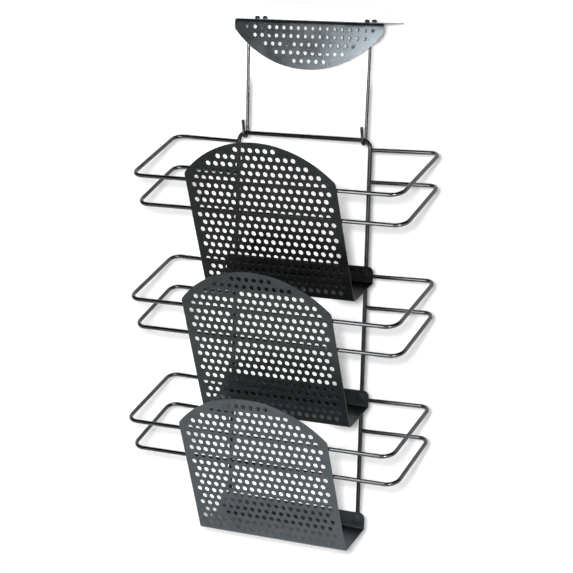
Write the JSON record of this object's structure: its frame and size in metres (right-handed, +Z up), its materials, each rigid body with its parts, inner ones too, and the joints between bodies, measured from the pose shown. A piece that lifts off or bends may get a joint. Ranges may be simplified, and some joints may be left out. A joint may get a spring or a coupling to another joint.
{
  "type": "hanging document pocket",
  "caption": "Tiered file pocket of bent wire and punched sheet steel that hangs over a partition on an adjustable half-moon hanger with open hooks.",
  "frame": {"origin": "middle of the underside of the saddle, which rests on the top edge of the partition, half way through a 25 mm partition", "axes": "+Z up, +X along the partition to the viewer's right, -Y out of the partition's front, where the pockets face"},
  "size_m": [0.3208, 0.1674, 0.5543],
  "materials": {
    "saddle_sheet": "dark grey satin metallic powder coat",
    "screw_steel": "black zinc",
    "hanger_sheet": "slate grey satin metallic powder coat",
    "rod_wire": "dark gunmetal satin coat",
    "frame_wire": "near-black satin coat",
    "loop_wire": "glossy gunmetal coat",
    "upper_pocket_sheet": "near-black satin metallic powder coat",
    "middle_pocket_sheet": "charcoal satin metallic powder coat",
    "lower_pocket_sheet": "slate grey satin metallic powder coat"
  },
  "bodies": {
    "saddle": {"rear_saddle": "saddle_sheet", "clamp_screw_left_front": "screw_steel", "clamp_screw_left_rear": "screw_steel", "clamp_screw_right_front": "screw_steel", "clamp_screw_right_rear": "screw_steel"},
    "hanger": {"hanger_plate": "hanger_sheet", "hanger_rod_left": "rod_wire", "hanger_rod_right": "rod_wire"},
    "file": {"frame_wire": "frame_wire", "upper_loop_1": "loop_wire", "upper_loop_2": "loop_wire", "upper_loop_3": "loop_wire", "lower_loop_1": "loop_wire", "lower_loop_2": "loop_wire", "lower_loop_3": "loop_wire", "pocket_1": "upper_pocket_sheet", "pocket_2": "middle_pocket_sheet", "pocket_3": "lower_pocket_sheet"}
  },
  "joints": [
    {"name": "hanger_slide", "type": "slide", "parent": "saddle", "child": "hanger", "axis": [0, -1, 0], "range_m": [0, 0.02]},
    {"name": "file_swing", "type": "hinge", "parent": "hanger", "child": "file", "pos_m": [0, -0.01825, -0.1195], "axis": [-1, 0, 0], "range_deg": [0, 80]}
  ]
}
